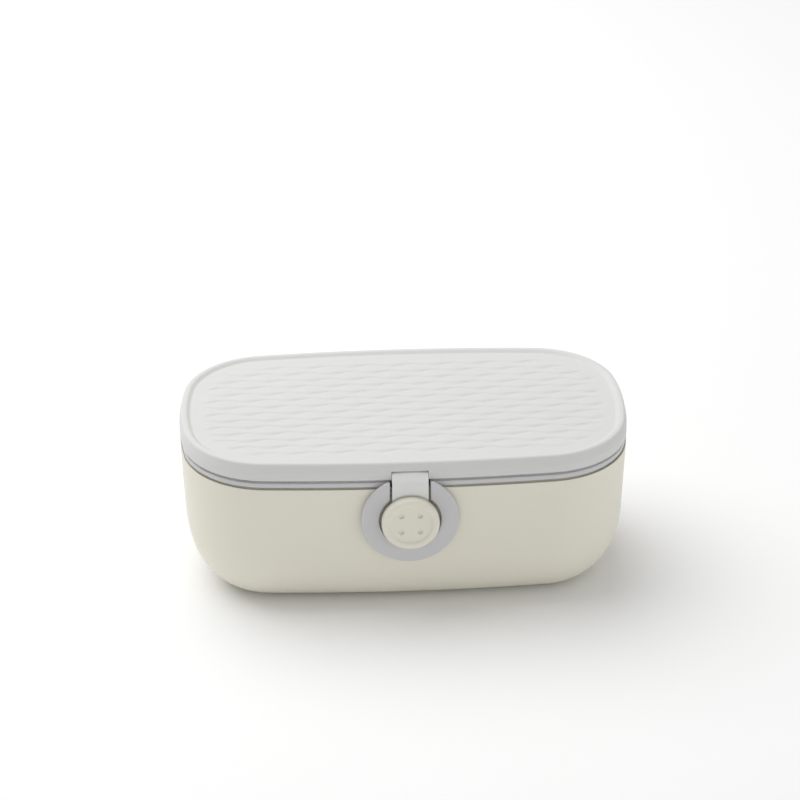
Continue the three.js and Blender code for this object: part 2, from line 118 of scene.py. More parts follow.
def planOutline(inset, density=1.0):
    # the box's outline moved inwards, anticlockwise from the right-hand end
    def steps(name):
        return max(2, round(outline[name] * density))
    quarter = arcPoints(endCentreX, 0, outline["endBow"] - inset, 0, endAngle, steps("endSteps"))
    quarter += arcPoints(
        cornerCentre.x, cornerCentre.y, outline["cornerRadius"] - inset,
        endAngle, sideAngle, steps("cornerSteps"),
    )[1:]
    quarter += arcPoints(
        0, sideCentreY, outline["sideBow"] - inset, sideAngle, math.pi / 2, steps("sideSteps"),
    )[1:]
    back = quarter[::-1]
    points = list(quarter)
    points += [(-x, y) for x, y in back[1:]]
    points += [(-x, -y) for x, y in quarter[1:]]
    points += [(x, -y) for x, y in back[1:-1]]
    return points


def insetOf(x, y):
    # how far a point lies inside the outline
    x, y = abs(x), abs(y)
    turn = math.atan2(y - cornerCentre.y, x - cornerCentre.x)
    if x > cornerCentre.x * 0.5 and y > 0 and endAngle < turn < sideAngle:
        return outline["cornerRadius"] - math.hypot(x - cornerCentre.x, y - cornerCentre.y)
    fromSide = outline["sideBow"] - math.hypot(x, y - sideCentreY)
    fromEnd = outline["endBow"] - math.hypot(x - endCentreX, y)
    return min(fromSide, fromEnd)


def roundCorners(points, radius, steps=4, closed=True):
    # a fillet at every corner of a profile; a third number gives a corner its own radius
    count = len(points)
    rounded = []
    for i, point in enumerate(points):
        here = Vector(point[:2])
        if not closed and i in (0, count - 1):
            rounded.append(tuple(here))
            continue
        before = Vector(points[i - 1][:2]) - here
        after = Vector(points[(i + 1) % count][:2]) - here
        size = point[2] if len(point) > 2 else radius
        angle = before.angle(after)
        if size <= 0 or angle > cornerRule["straight"]:
            rounded.append(tuple(here))
            continue
        room = min(before.length, after.length) * cornerRule["share"]
        reach = min(size / math.tan(angle / 2), room)
        start = here + before.normalized() * reach
        end = here + after.normalized() * reach
        middle = (start + end) / 2
        inwards = (middle - here).normalized()
        centre = here + inwards * (reach / math.cos(angle / 2))
        first = start - centre
        last = end - centre
        sweep = first.angle(last)
        turnWay = 1 if first.x * last.y - first.y * last.x > 0 else -1
        for k in range(steps + 1):
            step = turnWay * sweep * k / steps
            turned = Vector((
                first.x * math.cos(step) - first.y * math.sin(step),
                first.x * math.sin(step) + first.y * math.cos(step),
            ))
            rounded.append(tuple(centre + turned))
    return rounded


def objectFrom(name, verts, faces, matrix=None):
    mesh = bpy.data.meshes.new(name)
    place = matrix or Matrix.Identity(4)
    mesh.from_pydata([tuple((place @ Vector(v)) * mm) for v in verts], [], faces)
    mesh.update()
    made = bpy.data.objects.new(name, mesh)
    bpy.context.scene.collection.objects.link(made)
    return made


def loft(name, profile, closed=False, density=1.0):
    # sweeps [inset, z] points round the outline; an open profile ends in flat faces
    rings = [planOutline(inset, density) for inset, z in profile]
    count = len(rings[0])
    verts = [(x, y, z) for ring, (inset, z) in zip(rings, profile) for x, y in ring]
    faces = []
    bands = len(profile) if closed else len(profile) - 1
    for i in range(bands):
        low = i * count
        high = ((i + 1) % len(profile)) * count
        for j in range(count):
            after = (j + 1) % count
            faces.append((low + j, low + after, high + after, high + j))
    if not closed:
        last = (len(profile) - 1) * count
        faces.append(tuple(range(count - 1, -1, -1)))
        faces.append(tuple(range(last, last + count)))
    return objectFrom(name, verts, faces)


def lathe(name, profile, sides, matrix):
    # turns [radius, height] points about the local Z axis; both ends lie on the axis
    verts = [(0, 0, profile[0][1])]
    for radius, height in profile[1:-1]:
        for j in range(sides):
            turn = 2 * math.pi * j / sides
            verts.append((radius * math.cos(turn), radius * math.sin(turn), height))
    verts.append((0, 0, profile[-1][1]))
    rings = len(profile) - 2
    faces = []
    for j in range(sides):
        after = (j + 1) % sides
        faces.append((0, 1 + after, 1 + j))
        for i in range(rings - 1):
            low = 1 + i * sides
            faces.append((low + j, low + after, low + sides + after, low + sides + j))
        top = 1 + (rings - 1) * sides
        faces.append((top + j, top + after, len(verts) - 1))
    return objectFrom(name, verts, faces, matrix)


def slab(name, shape, low, high, matrix=None, layers=1):
    # a flat outline, anticlockwise, given thickness along local Z
    count = len(shape)
    verts = []
    for i in range(layers + 1):
        z = low + (high - low) * i / layers
        verts += [(x, y, z) for x, y in shape]
    faces = [tuple(range(count - 1, -1, -1)), tuple(range(layers * count, (layers + 1) * count))]
    for i in range(layers):
        for j in range(count):
            after = (j + 1) % count
            base = i * count
            faces.append((base + j, base + after, base + count + after, base + count + j))
    return objectFrom(name, verts, faces, matrix)


alongX = Matrix.Rotation(math.pi / 2, 4, "Y")  # local Z runs along the box


def bar(name, radius, x0, x1, y, z, sides, chamfer=0.0):
    # a round bar that runs along the box
    profile = [(0, 0), (radius - chamfer, 0), (radius, chamfer)] if chamfer else [(0, 0), (radius, 0)]
    mirrored = [(r, x1 - x0 - h) for r, h in reversed(profile)]
    return lathe(name, profile + mirrored, sides, Matrix.Translation((x0, y, z)) @ alongX)


def block(name, low, high, matrix=None):
    shape = [(low[0], low[1]), (high[0], low[1]), (high[0], high[1]), (low[0], high[1])]
    return slab(name, shape, low[2], high[2], matrix)


def applyModifiers(piece):
    graph = bpy.context.evaluated_depsgraph_get()
    finished = bpy.data.meshes.new_from_object(piece.evaluated_get(graph))
    piece.modifiers.clear()
    piece.data = finished


def combine(piece, other, how):
    modifier = piece.modifiers.new("combine", "BOOLEAN")
    modifier.operation = how
    modifier.solver = "EXACT"
    modifier.object = other
    applyModifiers(piece)
    bpy.data.objects.remove(other)


def join(piece, *others):
    for other in others:
        combine(piece, other, "UNION")


def cut(piece, *others):
    for other in others:
        combine(piece, other, "DIFFERENCE")


def softenEdges(piece, width, segments=3, angle=40):
    bpy.context.view_layer.update()
    modifier = piece.modifiers.new("soften", "BEVEL")
    modifier.width = width * mm
    modifier.segments = segments
    modifier.limit_method = "ANGLE"
    modifier.angle_limit = math.radians(angle)
    modifier.use_clamp_overlap = True
    modifier.miter_outer = "MITER_ARC"
    applyModifiers(piece)


def smoothShade(piece, angle):
    mesh = piece.data
    mesh.shade_smooth()
    mesh.set_sharp_from_angle(angle=math.radians(angle))


def tidyMesh(piece):
    work = bmesh.new()
    work.from_mesh(piece.data)
    bmesh.ops.remove_doubles(work, verts=work.verts, dist=weld["double"])
    bmesh.ops.dissolve_degenerate(work, edges=work.edges, dist=weld["sliver"])
    bmesh.ops.recalc_face_normals(work, faces=work.faces)
    work.to_mesh(piece.data)
    work.free()


# materials

finishMix = {"speckle": 0.25, "offset": 0.3, "pits": 0.6}
highlightSmoothing = 0.12  # how much smoother the edges under the painted highlight are
grainDepth = 0.00006
scratchDepth = 0.00002


def newGroup(name, inputs, outputs):
    group = bpy.data.node_groups.new(name, "ShaderNodeTree")
    for socketName, kind, value in inputs:
        socket = group.interface.new_socket(socketName, in_out="INPUT", socket_type=kind)
        socket.default_value = value
    for socketName, kind in outputs:
        group.interface.new_socket(socketName, in_out="OUTPUT", socket_type=kind)
    return group, group.nodes.new("NodeGroupInput"), group.nodes.new("NodeGroupOutput")


def addNode(tree, kind, **settings):
    node = tree.nodes.new(kind)
    for key, value in settings.items():
        setattr(node, key, value)
    return node


def addMath(tree, operation, first, second):
    node = addNode(tree, "ShaderNodeMath", operation=operation)
    for i, value in enumerate((first, second)):
        if isinstance(value, (int, float)):
            node.inputs[i].default_value = value
        else:
            tree.links.new(value, node.inputs[i])
    return node.outputs[0]


def mouldedFinish():
    # fine spark texture, faint flow streaks and a slow drift of tone, as on moulded plastic
    group, given, result = newGroup(
        "mouldedFinish",
        [
            ("Grain Size", "NodeSocketFloat", 2200.0),
            ("Flow", "NodeSocketFloat", 0.3),
            ("Tone", "NodeSocketColor", (0.8, 0.8, 0.8, 1)),
            ("Tone Shift", "NodeSocketColor", (0.7, 0.7, 0.7, 1)),
            ("Roughness Low", "NodeSocketFloat", 0.4),
            ("Roughness High", "NodeSocketFloat", 0.5),
        ],
        [
            ("Color", "NodeSocketColor"),
            ("Roughness", "NodeSocketFloat"),
            ("Height", "NodeSocketFloat"),
        ],
    )
    place = addNode(group, "ShaderNodeTexCoord")
    link = group.links.new
    grain = addNode(group, "ShaderNodeTexNoise")
    grain.inputs["Detail"].default_value = 3.0
    grain.inputs["Roughness"].default_value = 0.6
    link(place.outputs["Object"], grain.inputs["Vector"])
    link(given.outputs["Grain Size"], grain.inputs["Scale"])
    pits = addNode(group, "ShaderNodeTexVoronoi", feature="F1")
    link(place.outputs["Object"], pits.inputs["Vector"])
    link(given.outputs["Grain Size"], pits.inputs["Scale"])
    stretch = addNode(group, "ShaderNodeMapping")
    stretch.inputs["Scale"].default_value = (22, 60, 60)
    link(place.outputs["Object"], stretch.inputs["Vector"])
    flow = addNode(group, "ShaderNodeTexNoise")
    flow.inputs["Scale"].default_value = 1.0
    flow.inputs["Detail"].default_value = 4.0
    flow.inputs["Distortion"].default_value = 0.6
    link(stretch.outputs["Vector"], flow.inputs["Vector"])
    drift = addNode(group, "ShaderNodeTexNoise")
    drift.inputs["Scale"].default_value = 18.0
    drift.inputs["Detail"].default_value = 2.0
    link(place.outputs["Object"], drift.inputs["Vector"])
    flowShare = addMath(group, "MULTIPLY", flow.outputs["Fac"], given.outputs["Flow"])
    speckle = addMath(group, "MULTIPLY", grain.outputs["Fac"], finishMix["speckle"])
    toneMask = addMath(group, "ADD", flowShare, drift.outputs["Fac"])
    toneMask = addMath(group, "ADD", toneMask, speckle)
    toneMask = addMath(group, "SUBTRACT", toneMask, finishMix["offset"])
    mix = addNode(group, "ShaderNodeMix", data_type="RGBA")
    link(toneMask, mix.inputs["Factor"])
    link(given.outputs["Tone"], mix.inputs[6])
    link(given.outputs["Tone Shift"], mix.inputs[7])
    link(mix.outputs[2], result.inputs["Color"])
    rough = addNode(group, "ShaderNodeMapRange")
    rough.inputs["From Min"].default_value = 0.3
    rough.inputs["From Max"].default_value = 0.7
    link(drift.outputs["Fac"], rough.inputs["Value"])
    link(given.outputs["Roughness Low"], rough.inputs["To Min"])
    link(given.outputs["Roughness High"], rough.inputs["To Max"])
    link(rough.outputs["Result"], result.inputs["Roughness"])
    pitDepth = addMath(group, "MULTIPLY", pits.outputs["Distance"], finishMix["pits"])
    height = addMath(group, "ADD", grain.outputs["Fac"], pitDepth)
    link(height, result.inputs["Height"])
    return group


def paintedEdgeHighlight():
    # painted highlight: lighter, smoother convex edges; the mask follows the mesh's own corners
    group, given, result = newGroup(
        "paintedEdgeHighlight",
        [
            ("Color", "NodeSocketColor", (0.8, 0.8, 0.8, 1)),
            ("Highlight Color", "NodeSocketColor", (0.9, 0.9, 0.9, 1)),
            ("Roughness", "NodeSocketFloat", 0.5),
            ("Amount", "NodeSocketFloat", 0.5),
        ],
        [("Color", "NodeSocketColor"), ("Roughness", "NodeSocketFloat")],
    )
    link = group.links.new
    shape = addNode(group, "ShaderNodeNewGeometry")
    place = addNode(group, "ShaderNodeTexCoord")
    edge = addNode(group, "ShaderNodeMapRange")
    edge.inputs["From Min"].default_value = 0.52
    edge.inputs["From Max"].default_value = 0.62
    link(shape.outputs["Pointiness"], edge.inputs["Value"])
    patches = addNode(group, "ShaderNodeTexNoise")
    patches.inputs["Scale"].default_value = 90.0
    patches.inputs["Detail"].default_value = 5.0
    link(place.outputs["Object"], patches.inputs["Vector"])
    highlightMask = addMath(group, "MULTIPLY", edge.outputs["Result"], patches.outputs["Fac"])
    highlightMask = addMath(group, "MULTIPLY", highlightMask, given.outputs["Amount"])
    mix = addNode(group, "ShaderNodeMix", data_type="RGBA")
    link(highlightMask, mix.inputs["Factor"])
    link(given.outputs["Color"], mix.inputs[6])
    link(given.outputs["Highlight Color"], mix.inputs[7])
    link(mix.outputs[2], result.inputs["Color"])
    smoother = addMath(group, "MULTIPLY", highlightMask, highlightSmoothing)
    link(addMath(group, "SUBTRACT", given.outputs["Roughness"], smoother), result.inputs["Roughness"])
    return group


finishGroup = mouldedFinish()
edgeHighlightGroup = paintedEdgeHighlight()


def placeGroup(tree, group, values):
    node = addNode(tree, "ShaderNodeGroup", node_tree=group)
    for key, value in values.items():
        node.inputs[key].default_value = value
    return node


def linear(red, green, blue):
    # from screen values of 0 to 255
    def one(value):
        part = value / 255
        return part / 12.92 if part <= 0.04045 else ((part + 0.055) / 1.055) ** 2.4
    return (one(red), one(green), one(blue), 1)


def plasticMaterial(name, look):
    material = bpy.data.materials.new(name)
    material.use_nodes = True
    tree = material.node_tree
    shader = tree.nodes["Principled BSDF"]
    shader.inputs["IOR"].default_value = 1.49
    shader.inputs["Subsurface Weight"].default_value = look["depth"]
    shader.inputs["Subsurface Radius"].default_value = (0.6, 0.5, 0.4)
    shader.inputs["Subsurface Scale"].default_value = 0.0012
    shader.inputs["Specular IOR Level"].default_value = look["gloss"]
    shader.inputs["Coat Roughness"].default_value = 0.35
    shader.inputs["Coat Weight"].default_value = look["coat"]
    finish = placeGroup(tree, finishGroup, {
        "Grain Size": look["grain"],
        "Flow": look["flow"],
        "Tone": look["tone"],
        "Tone Shift": look["shift"],
        "Roughness Low": look["roughness"][0],
        "Roughness High": look["roughness"][1],
    })
    # the lighter edge tone is a painted highlight along the rounded convex edges
    edgeHighlight = placeGroup(tree, edgeHighlightGroup, {"Highlight Color": look["edgeHighlight"], "Amount": look["edgeHighlightAmount"]})
    link = tree.links.new
    link(finish.outputs["Color"], edgeHighlight.inputs["Color"])
    link(finish.outputs["Roughness"], edgeHighlight.inputs["Roughness"])
    link(edgeHighlight.outputs["Color"], shader.inputs["Base Color"])
    link(edgeHighlight.outputs["Roughness"], shader.inputs["Roughness"])
    bump = addNode(tree, "ShaderNodeBump")
    bump.inputs["Strength"].default_value = look["bump"]
    bump.inputs["Distance"].default_value = grainDepth
    link(finish.outputs["Height"], bump.inputs["Height"])
    link(bump.outputs["Normal"], shader.inputs["Normal"])
    return material


def steelMaterial(name, look):
    # drawn wire: fine scratches that run along the pin
    material = bpy.data.materials.new(name)
    material.use_nodes = True
    tree = material.node_tree
    link = tree.links.new
    shader = tree.nodes["Principled BSDF"]
    shader.inputs["Metallic"].default_value = 1.0
    place = addNode(tree, "ShaderNodeTexCoord")
    stretch = addNode(tree, "ShaderNodeMapping")
    stretch.inputs["Scale"].default_value = (120, 9000, 9000)
    link(place.outputs["Object"], stretch.inputs["Vector"])
    scratches = addNode(tree, "ShaderNodeTexNoise")
    scratches.inputs["Scale"].default_value = 1.0
    scratches.inputs["Detail"].default_value = 5.0
    link(stretch.outputs["Vector"], scratches.inputs["Vector"])
    tone = addNode(tree, "ShaderNodeMix", data_type="RGBA")
    tone.inputs[6].default_value = look["tone"]
    tone.inputs[7].default_value = look["shift"]
    link(scratches.outputs["Fac"], tone.inputs["Factor"])
    link(tone.outputs[2], shader.inputs["Base Color"])
    rough = addNode(tree, "ShaderNodeMapRange")
    rough.inputs["To Min"].default_value = look["roughness"][0]
    rough.inputs["To Max"].default_value = look["roughness"][1]
    link(scratches.outputs["Fac"], rough.inputs["Value"])
    link(rough.outputs["Result"], shader.inputs["Roughness"])
    bump = addNode(tree, "ShaderNodeBump")
    bump.inputs["Strength"].default_value = 0.3
    bump.inputs["Distance"].default_value = scratchDepth
    link(scratches.outputs["Fac"], bump.inputs["Height"])
    link(bump.outputs["Normal"], shader.inputs["Normal"])
    return material


# each look's lighter edge tone is a painted highlight for its rounded edges
creamLook = {
    "tone": linear(232, 229, 215), "shift": linear(228, 225, 210), "edgeHighlight": linear(238, 236, 227),
    "roughness": (0.42, 0.52), "grain": 2600.0, "flow": 0.25, "bump": 0.25,
    "depth": 0.08, "coat": 0.05, "gloss": 0.45, "edgeHighlightAmount": 0.35,
}
paleLook = {
    "tone": linear(219, 219, 217), "shift": linear(214, 214, 212), "edgeHighlight": linear(230, 230, 228),
    "roughness": (0.52, 0.6), "grain": 2600.0, "flow": 0.2, "bump": 0.2,
    "depth": 0.08, "coat": 0.02, "gloss": 0.28, "edgeHighlightAmount": 0.3,
}
paintedLightStrapLook = {
    **paleLook,  # the same plastic, painted a shade lighter to stand in for light on the strap's top
    "tone": linear(230, 230, 228), "shift": linear(226, 226, 224), "edgeHighlight": linear(236, 236, 234),
}
greyLook = {
    "tone": linear(207, 206, 208), "shift": linear(202, 201, 203), "edgeHighlight": linear(217, 217, 219),
    "roughness": (0.42, 0.52), "grain": 2600.0, "flow": 0.2, "bump": 0.22,
    "depth": 0.06, "coat": 0.04, "gloss": 0.45, "edgeHighlightAmount": 0.4,
}
trayLook = {
    "tone": linear(210, 211, 210), "shift": linear(203, 204, 203), "edgeHighlight": linear(222, 223, 222),
    "roughness": (0.38, 0.48), "grain": 2000.0, "flow": 0.35, "bump": 0.2,
    "depth": 0.1, "coat": 0.04, "gloss": 0.5, "edgeHighlightAmount": 0.25,
}
steelLook = {
    "tone": (0.58, 0.59, 0.6, 1), "shift": (0.46, 0.47, 0.48, 1), "roughness": (0.22, 0.42),
}

creamPlastic = plasticMaterial("creamPlastic", creamLook)
palePlastic = plasticMaterial("palePlastic", paleLook)
# a lighter copy of the pale plastic: the extra lightness is painted light on the strap
paintedLightStrapPlastic = plasticMaterial("paintedLightStrapPlastic", paintedLightStrapLook)
greyPlastic = plasticMaterial("greyPlastic", greyLook)
trayPlastic = plasticMaterial("trayPlastic", trayLook)
drawnSteel = steelMaterial("drawnSteel", steelLook)
print("materials made")


def finishPiece(piece, material, body, slotName, *nodes, angle=32):
    piece.data.materials.clear()
    piece.data.materials.append(material)
    smoothShade(piece, angle)
    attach(piece, body)
    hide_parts(*nodes)
    print("made", piece.name, len(piece.data.polygons), "faces")


# the tub

tub = {
    "wall": 2.0,
    "draft": 2.0,
    "roundIn": 17.8,  # the big round at the foot, inwards and upwards
    "roundUp": 25.0,
    "lipRound": 0.22,
    "lipWidth": 0.42,  # the thin outer edge in front of the shadow groove
    "lipDrop": 0.15,
    "grooveDepth": 1.2,
    "roundSteps": 22,
    "recess": 0.9,  # shallow pocket behind the clasp
    "ribSink": 0.6,  # share of the wall that the catch rib is sunk into
}
band = {
    "gap": 0.55,  # height of the groove under the band
    "height": 1.95,
    "inset": 0.4,
    "shadowDepth": 1.0,
    "edgeRound": 0.25,
    "webReach": 9.0,
    "webStandOff": 0.8,
    "topStep": 0.25,  # how much lower the part that shows is than the seat behind it
    "skirtInset": 2.4,
    "inner": 3.8,
    "ledgeDrop": 5.4,
    "ledgeWidth": 2.2,
    "ledgeThickness": 1.5,
    "innerRound": 0.35,
    "stepRound": 0.08,
    "skirtRound": 0.4,
    "rootSink": 0.3,
}
band["low"] = tubTop + band["gap"]
band["high"] = band["low"] + band["height"]
catch = {"length": 10.0, "height": 0.4, "width": 0.8, "drop": 4.5, "edgeRound": 0.18}
lean = math.atan2(tub["draft"], tubTop)


def sideInset(z):
    return tub["draft"] * (tubTop - z) / tubTop


def tubSide(offset, topZ, steps):
    # the tub's side moved inwards, from the foot up to a height
    up = tub["roundUp"] - offset
    inwards = tub["roundIn"] - offset
    points = []
    for i in range(steps + 1):
        turn = math.pi / 2 * (1 - i / steps)
        z = offset + up * (1 - math.sin(turn))
        if z < topZ:
            points.append((offset + sideInset(z) + inwards * (1 - math.cos(turn)), z))
    points.append((offset + sideInset(topZ), topZ))
    return points


claspShape = {
    "centreHeight": 38.8,
    "ringRadius": 16.6,
    "ringFace": 1.9,
    "holeRadius": 10.5,
    "slotWidth": 13.7,
    "strapWidth": 12.2,
    "strapFace": 2.4,
    "plateFront": 1.9,
    "plateBack": 1.0,
    "tail": 6.5,
    "knuckleRadius": 2.1,
    "shoulderRound": 3.2,
    "strapEdge": 0.34,
    "ringEdge": 0.42,
    "ringTopGap": 0.3,
    "pocketGap": 0.8,
    "notchGap": 0.14,
    "notchTopGap": 0.26,
    "crown": 0.35,  # how much lower the strap's top is at its sides
    "crownStart": 0.9,
    "tailRise": (0.6, 1.0, 0.7),  # where the back of the strap steps in to the nib
}
claspFrame = Matrix.Translation((
    0, frontFace + sideInset(claspShape["centreHeight"]), claspShape["centreHeight"],
)) @ Matrix.Rotation(math.pi / 2 + lean, 4, "X")
pinLocal = claspFrame.inverted() @ claspAxis


def makeTub():
    lip = tub["lipRound"]
    wall = tub["wall"]
    lipTop = tubTop - tub["lipDrop"]
    outside = tubSide(0, lipTop - 2 * lip, tub["roundSteps"])
    inside = tubSide(wall, tubTop - 2 * lip, tub["roundSteps"] - 4)[::-1]
    grooveInner = band["inset"] + band["shadowDepth"]
    grooveFloor = tubTop - tub["grooveDepth"]
    rim = roundCorners([
        outside[-1],
        (0, lipTop, lip),
        (tub["lipWidth"], lipTop, lip * 0.7),
        (tub["lipWidth"] + crisp, grooveFloor, crisp),
        (grooveInner, grooveFloor, crisp),
        (grooveInner, tubTop, crisp),
        (wall, tubTop, lip),
        inside[0],
    ], lip, steps=4, closed=False)
    shell = loft("tubShell", outside + rim[1:-1] + inside)
    hole = claspShape["holeRadius"]
    deep = -tub["recess"]
    recessProfile = [(0, deep), (hole, deep), (hole, past["face"]), (0, past["face"])]
    half = claspShape["slotWidth"] / 2
    cut(shell, lathe("recess", recessProfile, 96, claspFrame))
    cut(shell, block("slotRecess", (-half, 0, deep), (half, pinLocal.y, past["face"]), claspFrame))
    low = -catch["drop"] - catch["width"]
    ribHalf = catch["length"] / 2
    root = -wall * tub["ribSink"]
    rib = block(
        "catchRib", (-ribHalf, low, root), (ribHalf, -catch["drop"], catch["height"]), claspFrame,
    )
    softenEdges(rib, catch["edgeRound"], 3)
    join(shell, rib)
    finishPiece(shell, creamPlastic, "tub", "cream_plastic", "body_shell")


makeTub()


# the grey rim frame with its hinge knuckles and the clasp's ring

hinge = {
    "radius": 2.5,
    "width": 18.0,
    "frameWidth": 8.0,
    "spacing": 68.0,
    "boreRadius": 1.12,
    "barrelSteps": 56,
    "edgeRound": 0.25,
    "footRise": 0.2,
}


def hingeStretches(ofFrame, grow):
    # where the frame's or the lid's knuckles lie along each hinge
    inner = hinge["frameWidth"] / 2
    outer = hinge["width"] / 2
    for side in (-1, 1):
        x = side * hinge["spacing"] / 2
        if ofFrame:
            yield x - inner - grow, x + inner + grow
        else:
            yield x - outer - grow, x - inner - gaps["swing"] + grow
            yield x + inner + gaps["swing"] - grow, x + outer + grow


def knuckle(x0, x1, rootY, lowZ, highZ):
    # side view: a root block that runs into a round barrel, drawn as one outline
    radius = hinge["radius"]
    fromTop = math.pi - math.asin((highZ - hingeAxis.z) / radius)
    fromFoot = -math.pi - math.asin((lowZ - hingeAxis.z) / radius)
    barrel = arcPoints(hingeAxis.y, hingeAxis.z, radius, fromTop, fromFoot, hinge["barrelSteps"])
    side = [(rootY, highZ)] + barrel + [(rootY, lowZ)]
    across = Matrix(((0, 0, 1, 0), (1, 0, 0, 0), (0, 1, 0, 0), (0, 0, 0, 1)))
    made = slab("knuckle", side[::-1], x0, x1, across)
    low, high = x0 - past["end"], x1 + past["end"]
    cut(made, bar("bore", hinge["boreRadius"], low, high, hingeAxis.y, hingeAxis.z, sides=48))
    softenEdges(made, hinge["edgeRound"], 3)
    return made


def addKnuckles(piece, ofFrame, rootY, lowZ, highZ):
    for x0, x1 in hingeStretches(not ofFrame, gaps["swing"]):
        radius = hinge["radius"] + gaps["swing"]
        cut(piece, bar("room", radius, x0, x1, hingeAxis.y, hingeAxis.z, sides=64))
    for x0, x1 in hingeStretches(ofFrame, 0):
        join(piece, knuckle(x0, x1, rootY, lowZ, highZ))


def ringOutline():
    radius = claspShape["ringRadius"]
    hole = claspShape["holeRadius"]
    half = claspShape["slotWidth"] / 2
    top = (lidBottom - claspShape["centreHeight"]) / math.cos(lean) - claspShape["ringTopGap"]
    reach = math.asin(top / radius)
    opening = math.acos(half / hole)
    outer = arcPoints(0, 0, radius, math.pi - reach, 2 * math.pi + reach, 120)
    inner = arcPoints(0, 0, hole, opening, -math.pi - opening, 90)
    return outer + [(half, top)] + inner + [(-half, top)]


def makeFrame():
    bottom = band["low"]
    top = band["high"]
    inset = band["inset"]
    ledge = top - band["ledgeDrop"]
    ledgeLow = ledge - band["ledgeThickness"]
    ledgeInner = band["inner"] + band["ledgeWidth"]
    shadow = inset + band["shadowDepth"]
    step = top - band["topStep"]
    seat = tubTop + gaps["seat"]
    profile = roundCorners([
        (shadow, bottom, crisp),
        (inset, bottom, band["edgeRound"]),
        (inset, step, band["edgeRound"]),
        (shadow, step, band["stepRound"]),
        (shadow, top, crisp),
        (band["inner"], top, band["innerRound"]),
        (band["inner"], ledge, fine),
        (ledgeInner, ledge, fine),
        (ledgeInner, ledgeLow, fine),
        (band["skirtInset"], ledgeLow, band["skirtRound"]),
        (band["skirtInset"], seat, crisp),
        (shadow, seat, crisp),
    ], 0.2, steps=4)
    piece = loft("rimFrame", profile, closed=True)
    ring = slab("ring", ringOutline(), gaps["facing"], claspShape["ringFace"], claspFrame)
    softenEdges(ring, claspShape["ringEdge"], 4)
    reach = band["webReach"]
    web = block(
        "web",
        (-reach, frontFace - band["webStandOff"], bottom),
        (reach, frontFace + inset + band["shadowDepth"], step - crisp),
    )
    half = claspShape["slotWidth"] / 2
    swing = claspShape["knuckleRadius"] + gaps["swing"]
    room = block(
        "strapRoom",
        (-half, frontFace - past["far"], seat),
        (half, claspAxis.y + swing, lidTop),
    )
    join(piece, web)
    join(piece, ring)
    cut(piece, room)
    rootY = outline["halfDepth"] - band["inner"] + band["rootSink"]
    footZ = hingeAxis.z - hinge["radius"] + hinge["footRise"]
    addKnuckles(piece, True, rootY, footZ, top - fine)
    tidyMesh(piece)
    finishPiece(piece, greyPlastic, "tub", "grey_plastic", "rim_frame")


makeFrame()


# the lid with its wave relief

lid = {
    "wall": 2.0,
    "draft": 0.5,
    "shoulder": 0.75,  # how far the skirt leans in above the shoulder's start
    "shoulderDrop": 3.4,
    "shoulderRound": 2.5,
    "edgeRound": 1.6,
    "crown": 0.4,  # flat width on top of the rim
    "slope": 1.5,
    "panelDrop": 0.9,
    "plate": 2.0,
    "lipOuter": 4.1,
    "lipInner": 5.3,
    "lipReach": 1.5,
    "lipRound": 0.35,
    "ceilingRound": 0.5,
    "seatRound": 0.25,
    "rimRound": 0.8,
    "slopeRound": 0.9,
    "slopeShare": 0.85,  # the slope's foot, before the panel's own edge
    "panelEdge": 0.4,
    "pinEndGap": 0.3,
    "cheekWall": 1.1,
    "mouthRise": 0.5,
}
relief = {
    "rowPitch": 4.78,
    "waveLength": 14.9,
    "swing": 0.92,  # how far a line wanders to each side
    "bulge": 0.36,
    "crestShare": 0.2,  # a cell is highest near its front line and falls gently to the back
    "fallPower": 1.6,
    "groove": 0.14,
    "margin": 2.3,  # flat border inside the panel's edge
    "fade": 4.4,
    "edgeGap": 1.0,  # keeps the relief's own points clear of the panel's edge
    "rowShift": 25.77,
    "waveShift": -5.99,
    "columns": 0.62,
    "steps": (0.0, 0.05, 0.1, 0.15, 0.2, 0.3, 0.44, 0.6, 0.75, 0.88),
}
panelTop = lidTop - lid["panelDrop"]
panelInset = lid["draft"] + lid["edgeRound"] + lid["crown"] + lid["slope"]


def waveLine(row, x):
    phase = 2 * math.pi * (x - relief["waveShift"]) / relief["waveLength"] + math.pi * row
    return relief["rowShift"] - relief["rowPitch"] * row + relief["swing"] * math.sin(phase)


def smoothStep(value):
    value = max(0.0, min(1.0, value))
    return value * value * (3 - 2 * value)


def reliefHeight(row, x, y, share):
    gap = waveLine(row - 1, x) - waveLine(row, x)
    crest = relief["crestShare"]
    if share < crest:
        arch = share / crest
    else:
        arch = 1 - ((share - crest) / (1 - crest)) ** relief["fallPower"]
    rise = relief["bulge"] * gap / relief["rowPitch"] * arch - relief["groove"]
    strength = smoothStep((insetOf(x, y) - panelInset - relief["margin"]) / relief["fade"])
    return rise * strength


def reliefFaces(boundary):
    # points on and between the wave lines, meshed so that every line is a row of edges
    points = [Vector(p) for p in boundary]
    heights = [0.0] * len(points)
    edges = [(i, (i + 1) % len(points)) for i in range(len(points))]
    rows = int(outline["halfDepth"] / relief["rowPitch"]) + 3
    columns = int(outline["halfLength"] / relief["columns"])
    shift = round(relief["rowShift"] / relief["rowPitch"])
    for row in range(shift - rows, shift + rows + 1):
        for share in relief["steps"]:
            last = None
            for i in range(-columns, columns + 1):
                x = i * relief["columns"]
                low = waveLine(row, x)
                y = low + (waveLine(row - 1, x) - low) * share
                inside = insetOf(x, y) > panelInset + relief["edgeGap"]
                if inside:
                    points.append(Vector((x, y)))
                    heights.append(reliefHeight(row, x, y, share))
                    if share == 0.0 and last is not None:
                        edges.append((last, len(points) - 1))
                last = len(points) - 1 if inside else None
    found = delaunay_2d_cdt(points, edges, [], 1, 1e-6)
    return found, heights


